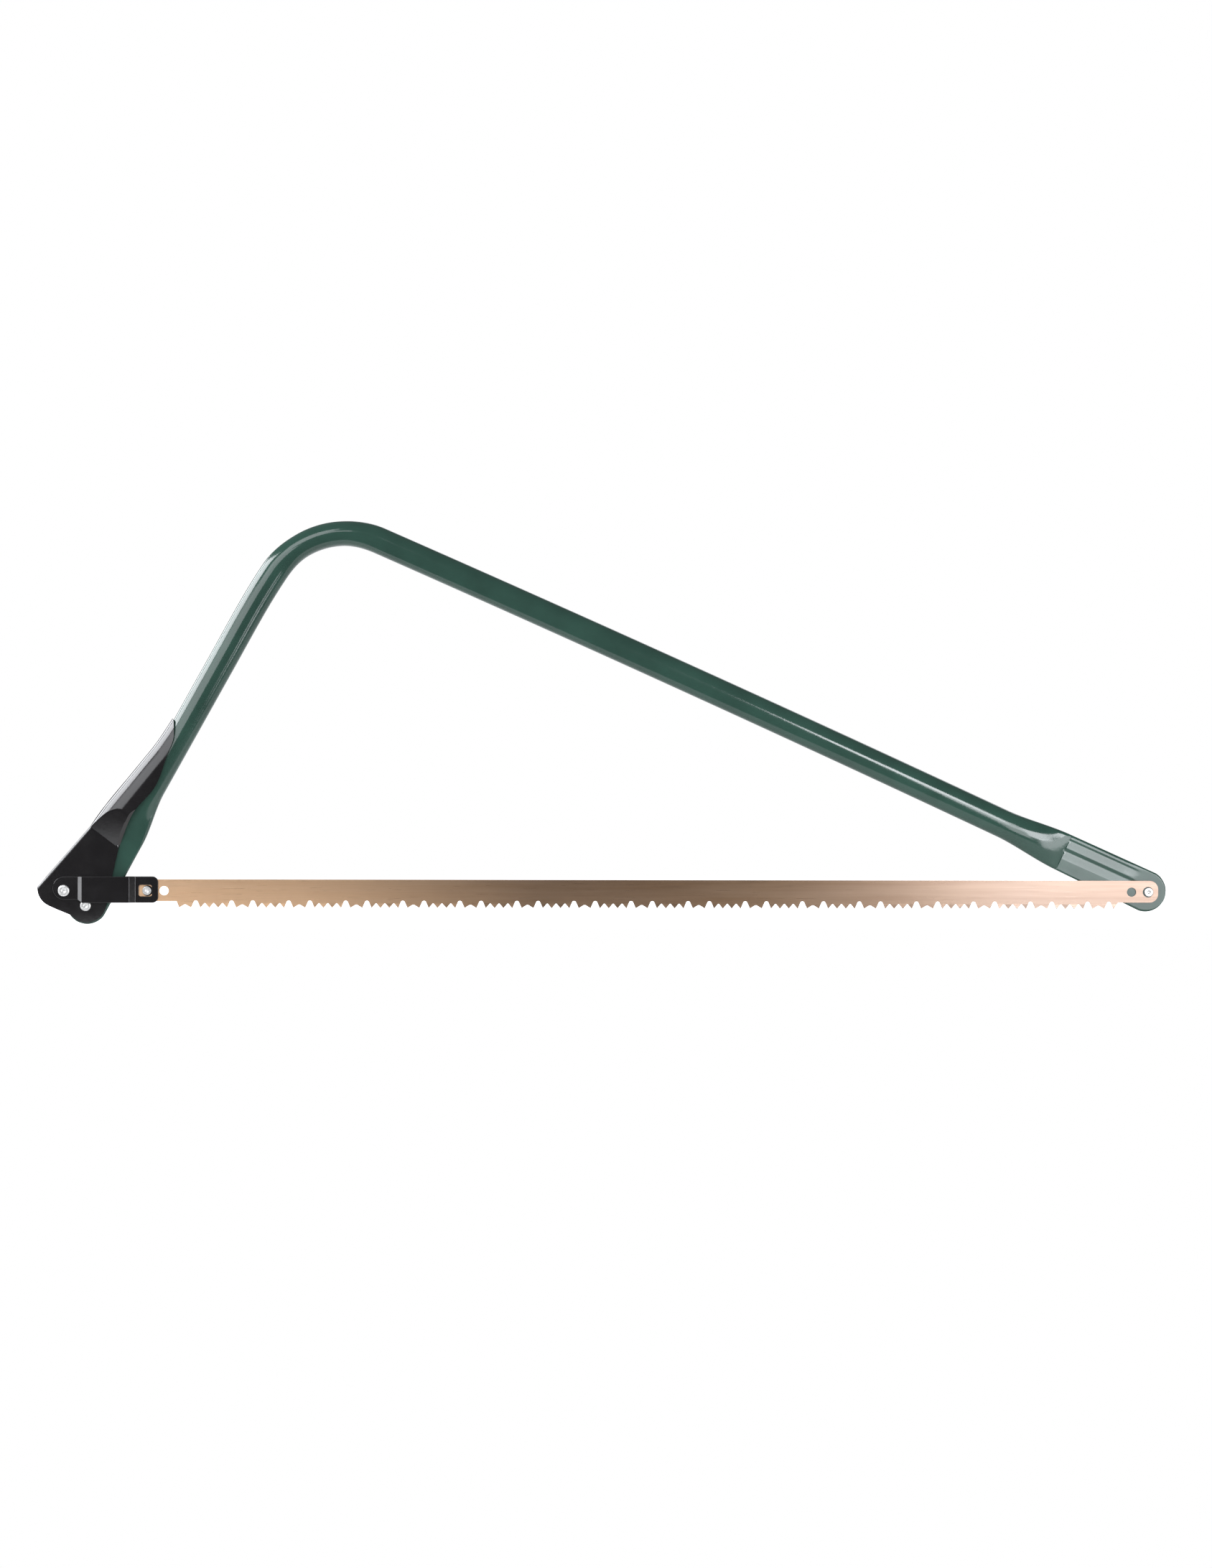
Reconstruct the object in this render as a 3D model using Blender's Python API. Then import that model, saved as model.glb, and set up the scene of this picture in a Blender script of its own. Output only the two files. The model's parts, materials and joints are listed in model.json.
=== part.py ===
"""Bow saw: a bent steel tube frame that keeps a straight blade taut.

The saw stands in the XZ plane with its teeth down. The heel, with the tension lever, is at -X and the nose
at +X. The near side, which carries the visible rivet heads, faces -Y.

Lengths are in millimetres; mesh_object() turns them into Blender's metres. A pair is a place (x, z) in the
saw's plane, and a depth is a distance along Y from the blade's middle plane.
"""

import math

import bmesh
import bpy
from mathutils import Vector

MM = 0.001

# ---- driving dimensions -------------------------------------------------------------------------------------
NOSE_STUD = (415.0, 24.1)   # the stud that the blade's front end hooks over
PIN_SPAN = 760.0            # from there to the blade pin: a 30 inch blade
BLADE_TILT = math.radians(0.09)  # the blade rises this much towards the heel
BLADE_PIN = (NOSE_STUD[0] - PIN_SPAN * math.cos(BLADE_TILT), NOSE_STUD[1] + PIN_SPAN * math.sin(BLADE_TILT))
PIVOT = (-391.4, 14.0)      # the tension lever's hinge, through the frame's heel
LINK_RIVET = (-407.8, 25.4)  # where the link hangs on the lever
GAP = 0.3                   # clearance between neighbouring pieces

# frame: one 19 mm (3/4 inch) steel tube, pressed oval along its arms and flat at its ends
WALL = 1.2
SLIT = 0.3                  # what is left of the bore where the tube is pressed flat
PLATE_HALF_DEPTH = WALL + SLIT / 2
HEEL_LEAN = math.radians(29.2)   # the short arm's angle from upright
HEEL_CENTRE = (-390.3, 16.0)     # the middle of the heel's round end, on the short arm's axis
HEEL_RADIUS = HEEL_CENTRE[1]     # it touches the ground plane
NOSE_CENTRE = (412.5, 25.0)
NOSE_RADIUS = 15.7
NOSE_PLATE_DEPTH = 2.85          # the nose is pressed off centre, behind the blade
BEND_RADIUS = 64.8
BEND_CENTRE = (-194.3, 231.4)
BEND_START = math.radians(34)    # lean of the short arm where the bend takes over
BEND_EASE = 213.0                # from the pivot to where the short arm starts to curve
BEND_STEPS = 12
LONG_ARM_DROP = math.radians(23.9)   # its slope where it leaves the bend
NOSE_DROP = math.radians(25.8)       # and at the nose
LONG_ARM_BOW = 2.3
CREASE_TO_NOSE = 68.5            # from the nose crease to the round end's centre
CREASE_TO_PIVOT = 61.0           # from the heel crease to the pivot
NOSE_FLARE = 52.0                # length over which the long arm is pressed flat
HEEL_FLARE = 42.0                # and the short arm
OVERRUN = 24.0                   # the pressed ends run this far past their pins before they are cut round
SHORT_ARM_HALF = (10.5, 8.2)     # half width in the saw's plane, half depth
BEND_HALF = (9.4, 9.6)
LONG_ARM_HALF = (10.2, 8.0)      # next to the bend
NOSE_ARM_HALF = (10.85, 8.0)     # next to the flare
HEEL_PLATE_HALF = (15.8, 15.1)   # half width at the round end and at the crease
NOSE_PLATE_HALF = (14.5, 15.6)   # half width at the crease and at the round end
RIB_HEIGHT = 0.75
RIB_PITCH = 10.0
FIRST_RIB = 7.0                  # from the nose plate's upper edge
RIBBED = 24.0                    # width of the ribbed part of the nose plate
QUARTER_STEPS = 2                # points round a flat section's edge, per quarter turn
FACE_STEPS = 10                  # and along each of its faces

# blade
BLADE_HALF_DEPTH = 0.45
BLADE_BACK = 8.6                 # from the pins' line up to the back
BLADE_BELLY = 7.9                # and down to the edge beyond the teeth
BLADE_END = 7.2                  # from a pin's centre to the blade's end
BLADE_CORNER = 6.5
END_HOLE_RADIUS = 4.0
SPARE_HOLE_RADIUS = 3.5
SPARE_HOLE_STEP = 13.0
PIN_RADIUS = 3.4
PIN_PLAY = 0.1                   # between a pin and the side of the hole that it bears on
TOOTH_DEPTH = 4.9
FIRST_RAKER = -731.0             # from the nose stud
RAKER_PITCH = 43.3
RAKERS = 17
RAKER_HALF = 4.5
RAKER_NOTCH = 2.4
PEG_PITCH = 6.7
PEG_FLANK = 0.62                 # share of the tooth depth to which the gullets between pegs reach
GULLET_HALF = 1.4                # half width of the round gullets beside the rakers

# tension lever: a channel pressed from sheet, its open side towards the frame
SHEET = 1.2
GRIP_HALF = 9.8                  # half depth where it wraps the short arm
CHEEK_HALF = 3.0                 # half depth of the flat cheeks at the pivot
LEVER_TIP = (-325.7, 155.8)
FOLD_START = (-388.3, 73.8)      # where the grip's half tube folds into the flat cheeks
FOLD_END = (-366.4, 57.2)
FOLD_SLOPE = 0.274
HEEL_CORNER = (-428.2, 28.3)
CHEEK_LOBE = 14.6                # radius of the cheeks' round end, inside the heel's
CHEEK_LOBE_CENTRE = (-390.6, 16.2)

# link: two stamped plates that straddle the lever and meet the blade
LINK_SHEET = 1.5
LINK_LOWER = 16.1
LINK_UPPER = 36.0
LINK_LEFT = -416.2
LINK_RIGHT = -336.4
LINK_BASE = CHEEK_HALF + GAP                       # depth of the inner face over the lever's cheek
LINK_PROUD = LINK_BASE + 1.9                       # over the pivot rivet's head
LINK_IN = BLADE_HALF_DEPTH + GAP                   # beside the blade
STEP_OUT = (-397.3, -393.9)
STEP_IN = (-358.1, -353.8)
LINK_CORNER = 4.5
LINK_WAIST = 2.4                                   # the rivet end is narrower by this at its lower edge
WINDOW = (-351.2, -341.2, 20.9, 29.7)              # left, right, lower and upper edge
WINDOW_CORNER = 1.6

# rivets
RIVET_RADIUS = 2.3
SPACER_RADIUS = 3.4
PIVOT_HEAD = (4.2, 1.4)                            # radius and height of a head
LINK_HEAD = (4.5, 1.5)
STUD_HEAD = (4.6, 1.3)                             # the riveted back of the studs that carry the blade
STUD_TIP = 2.4                                     # the nose stud stands this far in front of the blade's middle
SEAT = 0.1                                         # between a head and the sheet it closes on


# ---- small helpers ------------------------------------------------------------------------------------------
def clear_scene():
    for obj in list(bpy.data.objects):
        bpy.data.objects.remove(obj, do_unlink=True)


def material(name, colour, roughness, metallic):
    made = bpy.data.materials.new(name)
    made.use_nodes = True
    shader = made.node_tree.nodes["Principled BSDF"]
    shader.inputs["Base Color"].default_value = (*colour, 1)
    shader.inputs["Roughness"].default_value = roughness
    shader.inputs["Metallic"].default_value = metallic
    return made


def mesh_object(name, points, faces, finish=None, origin=(0, 0), smooth=False):
    """An object from points in millimetres, with its origin at a place in the saw's plane."""
    mesh = bpy.data.meshes.new(name)
    shift = Vector((origin[0], 0, origin[1]))
    mesh.from_pydata([(Vector(p) - shift) * MM for p in points], [], faces)
    work = bmesh.new()
    work.from_mesh(mesh)
    bmesh.ops.remove_doubles(work, verts=work.verts, dist=1e-6)
    bmesh.ops.recalc_face_normals(work, faces=work.faces)
    work.to_mesh(mesh)
    work.free()
    obj = bpy.data.objects.new(name, mesh)
    obj.location = shift * MM
    bpy.context.scene.collection.objects.link(obj)
    if finish:
        mesh.materials.append(finish)
    if smooth:
        mesh.shade_smooth()
        mesh.set_sharp_from_angle(angle=math.radians(35))
    return obj


def lerp(a, b, t):
    return a + (b - a) * t


def between(p, q, t):
    return (lerp(p[0], q[0], t), lerp(p[1], q[1], t))


def ease(t):
    """0 to 1 with level ends."""
    t = min(max(t, 0), 1)
    return t * t * (3 - 2 * t)


def arc(centre, radius, start, end, count):
    """Points on a circle, both ends included; angles in degrees from +X towards +Z."""
    turns = [math.radians(lerp(start, end, i / count)) for i in range(count + 1)]
    return [(centre[0] + radius * math.cos(a), centre[1] + radius * math.sin(a)) for a in turns]


def prism(name, outline, low, high, finish=None, origin=(0, 0)):
    """An outline in the saw's plane, extruded from depth low to depth high."""
    count = len(outline)
    points = [(x, y, z) for y in (low, high) for x, z in outline]
    faces = [tuple(range(count)), tuple(range(2 * count - 1, count - 1, -1))]
    faces += [(i, (i + 1) % count, count + (i + 1) % count, count + i) for i in range(count)]
    return mesh_object(name, points, faces, finish, origin)


def cutter(name, outline, low=-30, high=30):
    tool = prism(name, outline, low, high)
    tool.hide_render = True
    tool.display_type = "WIRE"
    return tool


def round_cutter(name, centre, radius, low=-30, high=30, count=24):
    return cutter(name, arc(centre, radius, 0, 360 - 360 / count, count - 1), low, high)


def combine(obj, tool, operation):
    modifier = obj.modifiers.new(tool.name, "BOOLEAN")
    modifier.operation = operation
    modifier.solver = "EXACT"
    modifier.object = tool


def turned(name, profile, centre, finish, count=24):
    """A round piece on a pin's axis from its profile of (radius, depth), which starts and ends on the axis."""
    points, rings = [], []
    for radius, depth in profile:
        turns = [2 * math.pi * i / count for i in range(count if radius else 1)]
        rings.append(range(len(points), len(points) + len(turns)))
        points += [(centre[0] + radius * math.cos(a), depth, centre[1] + radius * math.sin(a)) for a in turns]
    faces = []
    for first, second in zip(rings, rings[1:]):
        for i in range(count):
            corners = [first[i % len(first)], first[(i + 1) % len(first)]]
            corners += [second[(i + 1) % len(second)], second[i % len(second)]]
            faces.append(tuple(dict.fromkeys(corners)))
    return mesh_object(name, points, faces, finish, centre, smooth=True)


# ---- frame --------------------------------------------------------------------------------------------------
def frame_stations():
    """Along the tube from heel to nose: place, direction, half width, half depth, depth of its middle, how flat
    it is (0 oval, 1 pressed flat) and how far its ribs stand out (0 to 1)."""
    up = Vector((math.sin(HEEL_LEAN), math.cos(HEEL_LEAN)))
    pivot = Vector(PIVOT)
    bend = Vector(BEND_CENTRE)
    stations = []

    def add(place, along, flat, half, plate_half, depth=0.0, rib=0.0):
        wide = lerp(half[0], plate_half, flat)
        thick = lerp(half[1], PLATE_HALF_DEPTH, flat)
        stations.append((place, along, wide, thick, depth * flat, flat, rib))

    for s in (-OVERRUN, CREASE_TO_PIVOT / 3, CREASE_TO_PIVOT):
        width = lerp(*HEEL_PLATE_HALF, ease(s / CREASE_TO_PIVOT))
        add(pivot + up * s, up, 1, SHORT_ARM_HALF, width)
    for i in range(1, 7):
        s = CREASE_TO_PIVOT + HEEL_FLARE * i / 6
        add(pivot + up * s, up, 1 - ease(i / 6), SHORT_ARM_HALF, HEEL_PLATE_HALF[1])
    for s in (BEND_EASE * 0.75, BEND_EASE):
        add(pivot + up * s, up, 0, SHORT_ARM_HALF, 0)

    start, end = math.pi - BEND_START, math.pi / 2 - LONG_ARM_DROP

    def on_bend(turn):
        out = Vector((math.cos(turn), math.sin(turn)))
        return bend + out * BEND_RADIUS, Vector((out.y, -out.x))

    eased, (meets, lean) = pivot + up * BEND_EASE, on_bend(start)
    reach = (meets - eased).length / 3
    for t in (0.33, 0.66):
        points = (eased, eased + up * reach, meets - lean * reach, meets)
        while len(points) > 2:
            points = [p.lerp(q, t) for p, q in zip(points, points[1:])]
        add(points[0].lerp(points[1], t), (points[1] - points[0]).normalized(), 0, SHORT_ARM_HALF, 0)

    for i in range(BEND_STEPS + 1):
        t = i / BEND_STEPS
        squash = ease(3 * t) * ease(3 * (1 - t))
        half = between(between(SHORT_ARM_HALF, LONG_ARM_HALF, t), BEND_HALF, squash)
        add(*on_bend(lerp(start, end, t)), 0, half, 0)

    tail = on_bend(end)[0]
    chord = Vector(NOSE_CENTRE) - tail
    rise = Vector((-chord.y, chord.x)).normalized() * LONG_ARM_BOW * 4

    def long_arm(from_nose, flat, rib=0.0):
        t = 1 - from_nose / chord.length
        place = tail + chord * t + rise * t * (1 - t)
        along = (chord + rise * (1 - 2 * t)).normalized()
        width = lerp(*NOSE_PLATE_HALF, max(0, 1 - from_nose / CREASE_TO_NOSE))
        add(place, along, flat, between(LONG_ARM_HALF, NOSE_ARM_HALF, t), width, NOSE_PLATE_DEPTH, rib)

    straight = chord.length - CREASE_TO_NOSE - NOSE_FLARE
    for i in range(1, 7):
        long_arm(chord.length - straight * i / 7, 0)
    for i in range(8):
        long_arm(CREASE_TO_NOSE + NOSE_FLARE * (1 - i / 7), ease(i / 7))
    for s in (5, 11, 36, 48, 58):
        long_arm(CREASE_TO_NOSE - s, 1, ease(s / 10) * (1 - ease((s - 38) / 20)))
    long_arm(-OVERRUN, 1)
    return stations


def ribs(from_edge):
    """Height of the nose plate's ribs at a distance from its upper edge."""
    wave = (1 + math.cos(2 * math.pi * (from_edge - FIRST_RIB) / RIB_PITCH)) / 2
    inside = ease(from_edge / 4) * ease((RIBBED - from_edge) / 4)
    return RIB_HEIGHT * wave * inside


def frame_section(station, inset):
    """The tube's outline at a station, or its bore's with an inset of the wall: an ellipse that turns into a
    plate with round edges as it gets flat."""
    place, along, across, thick, depth, flat, rib = station
    inner = Vector((along.y, -along.x))
    wide, deep = across - inset, thick - inset
    half_count = 2 * QUARTER_STEPS + FACE_STEPS
    points = []
    for side in (1, -1):
        for i in range(half_count):
            turn = math.pi * i / half_count
            from_face = max(QUARTER_STEPS - i, i - QUARTER_STEPS - FACE_STEPS, 0)
            edge = math.pi / 2 * from_face / QUARTER_STEPS
            share = min(max((i - QUARTER_STEPS) / FACE_STEPS, 0), 1)
            plate_u = (wide - deep) * (1 - 2 * share) + math.copysign(deep * math.sin(edge), 0.5 - share)
            u = side * lerp(wide * math.cos(turn), plate_u, flat)
            v = side * lerp(deep * math.sin(turn), deep * math.cos(edge), flat)
            if side < 0:
                v -= ribs(across + u) * rib
            at = place + inner * u
            points.append((at.x, depth + v, at.y))
    return points


def end_trim(name, centre, radius, lean):
    """A cutter for everything past the half circle that faces the direction lean."""
    half_turn = 84
    outline = arc(centre, radius, lean - half_turn, lean + half_turn, 24)
    outline += arc(centre, 4 * radius, lean + half_turn, lean - half_turn, 4)
    return cutter(name, outline)


def frame_tube(finish):
    stations = frame_stations()
    outer = [frame_section(s, 0) for s in stations]
    bore = [frame_section(s, WALL) for s in stations]
    rings = outer + bore[::-1]
    count = len(rings[0])
    points = [p for ring in rings for p in ring]
    faces = []
    for i in range(len(rings)):
        a, b = i * count, (i + 1) % len(rings) * count
        faces += [(a + k, a + (k + 1) % count, b + (k + 1) % count, b + k) for k in range(count)]
    tube = mesh_object("frame_tube", points, faces, finish, smooth=True)
    heel_lean, nose_lean = -90 - math.degrees(HEEL_LEAN), -math.degrees(NOSE_DROP)
    combine(tube, end_trim("heel_trim", HEEL_CENTRE, HEEL_RADIUS, heel_lean), "DIFFERENCE")
    combine(tube, end_trim("nose_trim", NOSE_CENTRE, NOSE_RADIUS, nose_lean), "DIFFERENCE")
    combine(tube, round_cutter("pivot_hole", PIVOT, RIVET_RADIUS + GAP), "DIFFERENCE")
    combine(tube, round_cutter("stud_hole", NOSE_STUD, RIVET_RADIUS + GAP), "DIFFERENCE")
    return tube


# ---- blade --------------------------------------------------------------------------------------------------
def on_blade(u, v):
    """A place on the blade: u from the nose stud along the line of the pins, v above that line."""
    c, s = math.cos(BLADE_TILT), math.sin(BLADE_TILT)
    return (NOSE_STUD[0] + u * c + v * s, NOSE_STUD[1] - u * s + v * c)


def gullet(u):
    """The round gullet beside a raker."""
    return [(u - GULLET_HALF, -BLADE_BELLY), (u, -BLADE_BELLY + 0.5), (u + GULLET_HALF, -BLADE_BELLY)]


def teeth():
    """The cutting edge from the heel to the nose: groups of peg teeth between two-tipped rakers."""
    tip = -BLADE_BELLY - TOOTH_DEPTH
    shallow = tip + TOOTH_DEPTH * PEG_FLANK
    first_peg = (RAKER_PITCH - 3 * PEG_PITCH) / 2
    beside = (RAKER_HALF + first_peg) / 2
    edge = [(FIRST_RAKER - RAKER_HALF - 2, -BLADE_BELLY)]
    for k in range(RAKERS):
        raker = FIRST_RAKER + RAKER_PITCH * k
        edge += [(raker - RAKER_HALF, tip), (raker, tip + RAKER_NOTCH), (raker + RAKER_HALF, tip)]
        edge += gullet(raker + beside)
        pegs = 4 if k < RAKERS - 1 else 1
        for n in range(pegs):
            peg = raker + first_peg + PEG_PITCH * n
            edge.append((peg, tip))
            if n < pegs - 1:
                edge.append((peg + PEG_PITCH / 2, shallow))
        if k < RAKERS - 1:
            edge += gullet(raker + RAKER_PITCH - beside)
    edge.append((edge[-1][0] + PEG_PITCH / 2, -BLADE_BELLY))
    return edge


def blade(finish):
    left, right = BLADE_CORNER - BLADE_END - PIN_SPAN, BLADE_END - BLADE_CORNER
    low, high = BLADE_CORNER - BLADE_BELLY, BLADE_BACK - BLADE_CORNER
    outline = arc((left, low), BLADE_CORNER, 180, 270, 6) + teeth()
    outline += arc((right, low), BLADE_CORNER, -90, 0, 6)
    outline += arc((right, high), BLADE_CORNER, 0, 90, 6)
    outline += arc((left, high), BLADE_CORNER, 90, 180, 6)
    outline = [on_blade(u, v) for u, v in outline]
    strip = prism("blade", outline, -BLADE_HALF_DEPTH, BLADE_HALF_DEPTH, finish, NOSE_STUD)
    shift = END_HOLE_RADIUS - PIN_RADIUS - PIN_PLAY
    for name, pin, inwards in (("link_end", -PIN_SPAN, 1), ("nose_end", 0, -1)):
        hole, spare = on_blade(pin + inwards * shift, 0), on_blade(pin + inwards * SPARE_HOLE_STEP, 0)
        combine(strip, round_cutter(name + "_hole", hole, END_HOLE_RADIUS), "DIFFERENCE")
        combine(strip, round_cutter(name + "_spare_hole", spare, SPARE_HOLE_RADIUS), "DIFFERENCE")
    return strip


# ---- tension lever ------------------------------------------------------------------------------------------
# its folded back from the tip to the fold, and the free edge opposite, place by place
SPINE = [LEVER_TIP, (-332.3, 145.5), (-340.0, 134.6), (-357.9, 112.8), (-376.5, 90.2), FOLD_START]
FREE_EDGE = [(-324.4, 154.2), (-324.3, 141.0), (-329.0, 128.3), (-338.2, 104.2), (-355.2, 83.6), FOLD_END]


def spine_distance(x, z):
    """How far a place is from the lever's spine."""
    here = Vector((x, z))
    line = [Vector(p) for p in (*SPINE, HEEL_CORNER)]
    found = []
    for a, b in zip(line, line[1:]):
        t = min(max((here - a).dot(b - a) / (b - a).length_squared, 0), 1)
        found.append((here - a - (b - a) * t).length)
    return min(found)


def quarter_round(distance, radius):
    """Depth of a rounded back at a distance from its ridge."""
    d = min(distance, radius)
    return math.sqrt(2 * radius * d - d * d)


def lever_depth(x, z):
    """Half depth of the lever's outer face: a half tube above the fold, flat cheeks below it."""
    d = spine_distance(x, z)
    fold = Vector(FOLD_END) - Vector(FOLD_START)
    above = Vector((-fold.y, fold.x)).normalized().dot(Vector((x, z)) - Vector(FOLD_START))
    return min(quarter_round(d, GRIP_HALF), quarter_round(d, CHEEK_HALF) + FOLD_SLOPE * max(above, 0))


def along_path(path, t):
    """The place a share t along a polyline, counted in its points."""
    t *= len(path) - 1
    i = min(int(t), len(path) - 2)
    return between(path[i], path[i + 1], t - i)


def cheek_bottom():
    """The cheeks' lower outline, from the heel corner round the lobe at the pivot to the free edge."""
    path = [HEEL_CORNER, (-426.8, 21.6), (-422.6, 16.0), (-415.5, 12.2), (-404.0, 7.4)]
    return path + arc(CHEEK_LOBE_CENTRE, CHEEK_LOBE, 220, 364, 12)


def lever_rows():
    """Each row of the lever's near side, from the spine to the free edge, closer together near the spine."""
    shares = [0, 0.03, 0.08, 0.16, 0.26, 0.4, 0.55, 0.7, 0.85, 1]
    grip_rows, cheek_rows = 20, 8
    rows = []
    for i in range(grip_rows):
        spine, free = along_path(SPINE, i / grip_rows), along_path(FREE_EDGE, i / grip_rows)
        rows.append([between(spine, free, s) for s in shares])
    fold = [between(FOLD_START, FOLD_END, s) for s in shares]
    low = [along_path(cheek_bottom(), s ** 0.9) for s in shares]
    for i in range(cheek_rows + 1):
        rows.append([between(a, b, i / cheek_rows) for a, b in zip(fold, low)])
    return rows


def tension_lever(finish):
    rows = lever_rows()
    points = []
    for row in rows:
        near = [(x, -lever_depth(x, z), z) for x, z in row]
        far = [(x, -y, z) for x, y, z in near[1:]]
        points += near[::-1] + far
    count = 2 * len(rows[0]) - 1
    faces = []
    for i in range(len(rows) - 1):
        for k in range(count - 1):
            a, b = i * count + k, (i + 1) * count + k
            faces.append((a, a + 1, b + 1, b))
    lever = mesh_object("tension_lever", points, faces, finish, PIVOT, smooth=True)
    shell = lever.modifiers.new("sheet", "SOLIDIFY")
    shell.thickness = SHEET * MM
    shell.offset = -1
    shell.use_even_offset = True
    combine(lever, round_cutter("lever_pivot_hole", PIVOT, RIVET_RADIUS + GAP), "DIFFERENCE")
    combine(lever, round_cutter("lever_link_hole", LINK_RIVET, RIVET_RADIUS + GAP), "DIFFERENCE")
    return lever


# ---- link ---------------------------------------------------------------------------------------------------
def link_outline():
    """A plate's outline: round at the link rivet, square with round corners at the blade pin."""
    waist = LINK_LOWER + LINK_WAIST
    left_radius = (LINK_UPPER - waist) / 2
    outline = arc((LINK_LEFT + left_radius, waist + left_radius), left_radius, 90, 270, 14)
    outline += [(STEP_OUT[0], waist), (STEP_OUT[1], LINK_LOWER)]
    right = LINK_RIGHT - LINK_CORNER
    outline += arc((right, LINK_LOWER + LINK_CORNER), LINK_CORNER, -90, 0, 4)
    outline += arc((right, LINK_UPPER - LINK_CORNER), LINK_CORNER, 0, 90, 4)
    return outline


def window_outline():
    left, right = WINDOW[0] + WINDOW_CORNER, WINDOW[1] - WINDOW_CORNER
    lower, upper = WINDOW[2] + WINDOW_CORNER, WINDOW[3] - WINDOW_CORNER
    outline = []
    for centre, turn in (((right, lower), -90), ((right, upper), 0), ((left, upper), 90), ((left, lower), 180)):
        outline += arc(centre, WINDOW_CORNER, turn, turn + 90, 4)
    return outline


def link_plate(name, side, finish):
    """A stamped plate with two joggles; side is -1 for the near plate and 1 for the far one."""
    steps = [(LINK_LEFT - 5, LINK_BASE), (STEP_OUT[0], LINK_BASE), (STEP_OUT[1], LINK_PROUD)]
    steps += [(STEP_IN[0], LINK_PROUD), (STEP_IN[1], LINK_IN), (LINK_RIGHT + 5, LINK_IN)]
    inner = [(x, side * y) for x, y in steps]
    outer = [(x, side * (y + LINK_SHEET)) for x, y in steps]
    strip = inner + outer[::-1]
    count = len(strip)
    low, high = LINK_LOWER - 5, LINK_UPPER + 5
    points = [(x, y, z) for z in (low, high) for x, y in strip]
    faces = [(i, (i + 1) % count, count + (i + 1) % count, count + i) for i in range(count)]
    last = len(steps) - 1
    for base in (0, count):
        for i in range(last):
            faces.append((base + i, base + i + 1, base + count - 2 - i, base + count - 1 - i))
    plate = mesh_object(name, points, faces, finish, LINK_RIVET)
    combine(plate, cutter(name + "_outline", link_outline()), "INTERSECT")
    combine(plate, round_cutter(name + "_rivet_hole", LINK_RIVET, RIVET_RADIUS + GAP), "DIFFERENCE")
    if side < 0:
        combine(plate, cutter(name + "_window", window_outline()), "DIFFERENCE")
    else:
        combine(plate, round_cutter(name + "_pin_hole", BLADE_PIN, RIVET_RADIUS + GAP), "DIFFERENCE")
    return plate


# ---- rivets and pins ----------------------------------------------------------------------------------------
def head(radius, height, face, outwards):
    """Profile of a domed head with a dimple, from its middle to the shank; face is the depth it seats on."""
    dimple, rim = 0.36 * radius, 0.8 * radius
    steps = [(0, 0.62), (dimple * 0.6, 0.68), (dimple, 1.0), (rim, 0.82), (radius, 0.3), (radius, 0)]
    return [(r, face + outwards * height * h) for r, h in steps]


def rivet(name, centre, reach, size, finish):
    """A rivet with a head of a size (radius, height) on each side, which close on a half depth of reach."""
    profile = head(*size, -reach - SEAT, -1)
    profile += [(RIVET_RADIUS, -reach - SEAT), (RIVET_RADIUS, reach + SEAT)]
    profile += head(*size, reach + SEAT, 1)[::-1]
    return turned(name, profile, centre, finish)


def stud(name, centre, tip, shoulder, back, finish):
    """A pin whose tip stands towards the near side; its shoulder meets its plate, and its end is riveted over
    at the plate's back."""
    dimple, chamfer = 1.1, 0.5
    profile = [(0, tip + chamfer), (dimple * 0.6, tip + 0.8 * chamfer), (dimple, tip)]
    profile += [(PIN_RADIUS - chamfer, tip), (PIN_RADIUS, tip + chamfer), (PIN_RADIUS, shoulder)]
    profile += [(RIVET_RADIUS, shoulder), (RIVET_RADIUS, back + SEAT)]
    profile += head(*STUD_HEAD, back + SEAT, 1)[::-1]
    return turned(name, profile, centre, finish)


def spacer(name, centre, half_depth, finish):
    """The sleeve that keeps the lever's cheeks apart under the link rivet."""
    sleeve = prism(name, arc(centre, SPACER_RADIUS, 0, 345, 23), -half_depth, half_depth, finish, centre)
    combine(sleeve, round_cutter(name + "_bore", centre, RIVET_RADIUS + GAP), "DIFFERENCE")
    return sleeve


FINISHES = {
    "green_paint": ((0.045, 0.12, 0.095), 0.3, 0.0),
    "black_paint": ((0.012, 0.011, 0.012), 0.25, 0.0),
    "bright_steel": ((0.62, 0.61, 0.6), 0.3, 1.0),
    "tempered_steel": ((0.56, 0.38, 0.25), 0.3, 1.0),
}


def finish_of(node, kind):
    return material(node + "_" + kind, *FINISHES[kind])


def build():
    clear_scene()
    frame_tube(finish_of("frame_tube", "green_paint"))
    blade(finish_of("blade", "tempered_steel"))
    tension_lever(finish_of("tension_lever", "black_paint"))
    link_plate("link_near_plate", -1, finish_of("link_near_plate", "black_paint"))
    link_plate("link_far_plate", 1, finish_of("link_far_plate", "black_paint"))
    rivet("lever_pivot_rivet", PIVOT, CHEEK_HALF, PIVOT_HEAD, finish_of("lever_pivot_rivet", "bright_steel"))
    rivet("link_rivet", LINK_RIVET, LINK_BASE + LINK_SHEET, LINK_HEAD, finish_of("link_rivet", "bright_steel"))
    inside_cheeks = CHEEK_HALF - SHEET - GAP
    spacer("link_rivet_spacer", LINK_RIVET, inside_cheeks, finish_of("link_rivet_spacer", "bright_steel"))
    link_face = LINK_IN + LINK_SHEET
    pin_steel = finish_of("blade_pin", "bright_steel")
    stud("blade_pin", BLADE_PIN, -link_face - GAP, LINK_IN - GAP, link_face, pin_steel)
    nose_near, nose_far = NOSE_PLATE_DEPTH - PLATE_HALF_DEPTH, NOSE_PLATE_DEPTH + PLATE_HALF_DEPTH
    stud("nose_stud", NOSE_STUD, -STUD_TIP, nose_near - GAP, nose_far, finish_of("nose_stud", "bright_steel"))


build()
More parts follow.
